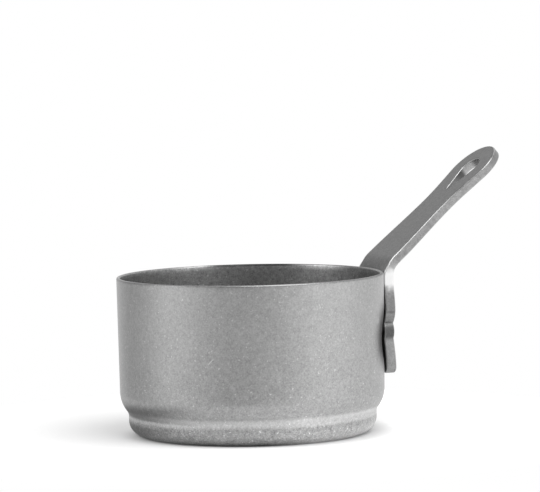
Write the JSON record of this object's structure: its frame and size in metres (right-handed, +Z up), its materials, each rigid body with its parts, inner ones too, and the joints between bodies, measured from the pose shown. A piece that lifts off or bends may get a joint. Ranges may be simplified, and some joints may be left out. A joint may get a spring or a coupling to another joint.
{
  "type": "saucepan",
  "caption": "Small round saucepan in tumbled steel with a stepped stacking foot and a flat plate handle bent up and outward, ending in a round eye with a teardrop hanging hole.",
  "frame": {"origin": "centre of the flat base, on the surface that the pan stands on", "axes": "+Z up along the pan's axis, +X out along the handle, +Y across to complete a right-handed frame"},
  "size_m": [0.1373, 0.09, 0.0933],
  "materials": {
    "body_steel": "tumbled matt grey steel with a fine light and dark speckle",
    "handle_steel": "tumbled satin grey steel with worn bright arrises",
    "rivet_steel": "tumbled satin grey steel"
  },
  "bodies": {
    "root": {"pan_body": "body_steel", "handle": "handle_steel", "rivet_upper_left": "rivet_steel", "rivet_upper_right": "rivet_steel", "rivet_lower": "rivet_steel"}
  },
  "joints": []
}
